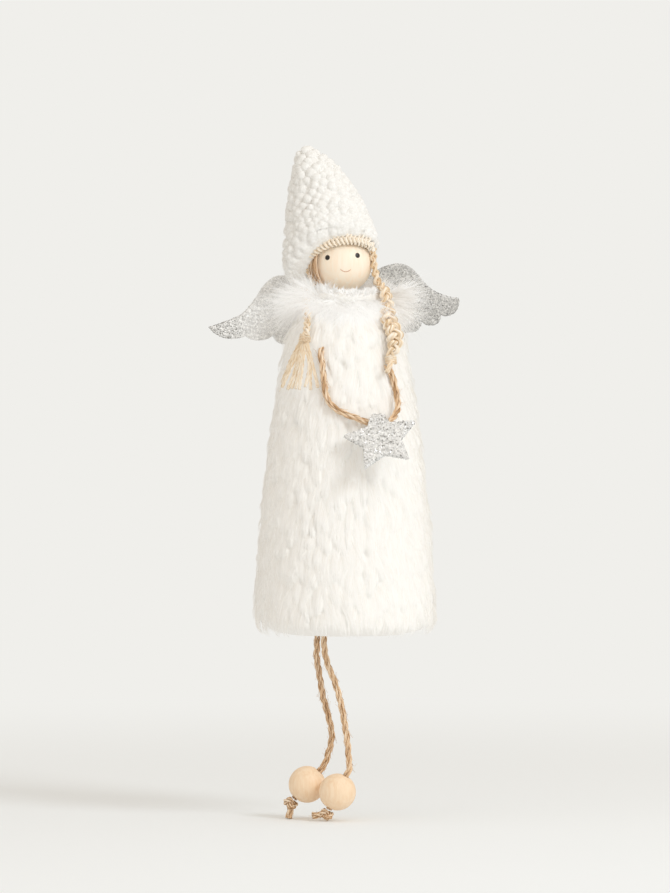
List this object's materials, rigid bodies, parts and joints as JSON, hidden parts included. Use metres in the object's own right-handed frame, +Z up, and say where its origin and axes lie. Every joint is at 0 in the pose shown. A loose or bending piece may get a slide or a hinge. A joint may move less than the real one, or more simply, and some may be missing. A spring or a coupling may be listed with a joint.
{
  "type": "plush angel ornament",
  "caption": "Hanging plush angel: furry cone body, wooden bead head with a sherpa hat and plaited hair, glitter wings and star, and bead feet on twine legs.",
  "frame": {"origin": "the point on the hat straight above the body's axis, where a hanging thread goes", "axes": "+Z up along the body's axis, -Y to the front, +X to the right as seen from the front"},
  "size_m": [0.0836, 0.0706, 0.2182],
  "materials": {
    "plush": "matte",
    "filling": "matte",
    "felt": "matte",
    "sherpa": "matte",
    "feather": "matte",
    "jute": "matte",
    "head_wood": "satin",
    "bead_wood": "satin",
    "dowel_wood": "matte",
    "glitter_foam": "gloss"
  },
  "bodies": {
    "body": {"body_cover": "plush", "body_stuffing": "filling", "base_panel": "felt", "leg_anchor": "jute", "neck_dowel": "dowel_wood", "head_bead": "head_wood", "hat": "sherpa", "hat_stuffing": "filling", "hair_fringe": "jute", "feather_collar": "feather"},
    "left_wing": {"left_wing": "glitter_foam"},
    "right_wing": {"right_wing": "glitter_foam"},
    "left_braid": {"left_braid": "jute", "left_braid_tie": "jute", "left_tassel": "jute"},
    "right_braid": {"right_braid": "jute", "right_braid_tie": "jute"},
    "arms": {"arm_cord": "jute"},
    "star": {"star": "glitter_foam"},
    "left_leg": {"left_leg_cord": "jute", "left_foot_knot": "jute"},
    "right_leg": {"right_leg_cord": "jute", "right_foot_knot": "jute"},
    "left_foot": {"left_foot_bead": "bead_wood"},
    "right_foot": {"right_foot_bead": "bead_wood"}
  },
  "joints": [
    {"name": "left_wing_flex", "type": "hinge", "parent": "body", "child": "left_wing", "pos_m": [-0.00089, 0.01563, -0.04385], "axis": [0.1115, 0, -0.9938], "range_deg": [-4, 30], "stiffness_Nm_per_rad": 0.001},
    {"name": "right_wing_flex", "type": "hinge", "parent": "body", "child": "right_wing", "pos_m": [0.00089, 0.01563, -0.04365], "axis": [-0.1115, 0, 0.9938], "range_deg": [-4, 30], "stiffness_Nm_per_rad": 0.001},
    {"name": "left_braid_swing", "type": "hinge", "parent": "body", "child": "left_braid", "pos_m": [-0.01263, -0.00081, -0.02894], "axis": [-0.5736, 0.8192, 0], "range_deg": [0, 50]},
    {"name": "right_braid_swing", "type": "hinge", "parent": "body", "child": "right_braid", "pos_m": [0.00975, -0.00416, -0.02506], "axis": [-0.866, -0.5, 0], "range_deg": [0, 50]},
    {"name": "arms_lift", "type": "hinge", "parent": "body", "child": "arms", "pos_m": [-0.01204, -0.0172, -0.05563], "axis": [-0.9593, 0.0905, 0.2677], "range_deg": [0, 70]},
    {"name": "star_swing", "type": "hinge", "parent": "arms", "child": "star", "pos_m": [0.00472, -0.02676, -0.07805], "axis": [-0.9272, 0.3746, 0], "range_deg": [-28, 50]},
    {"name": "left_leg_swing", "type": "hinge", "parent": "body", "child": "left_leg", "pos_m": [-0.0091, 0.0011, -0.15135], "axis": [0.5684, -0.8227, 0], "range_deg": [-50, 50]},
    {"name": "right_leg_swing", "type": "hinge", "parent": "body", "child": "right_leg", "pos_m": [-0.0073, -0.0015, -0.15135], "axis": [0.5684, -0.8227, 0], "range_deg": [-50, 50]},
    {"name": "left_foot_spin", "type": "hinge", "parent": "left_leg", "child": "left_foot", "pos_m": [-0.0116, 0.0046, -0.19684], "axis": [0.6476, -0.1494, 0.7472], "continuous": true},
    {"name": "right_foot_spin", "type": "hinge", "parent": "right_leg", "child": "right_foot", "pos_m": [-0.004, -0.0064, -0.19865], "axis": [0.449, -0.0998, 0.888], "continuous": true}
  ]
}
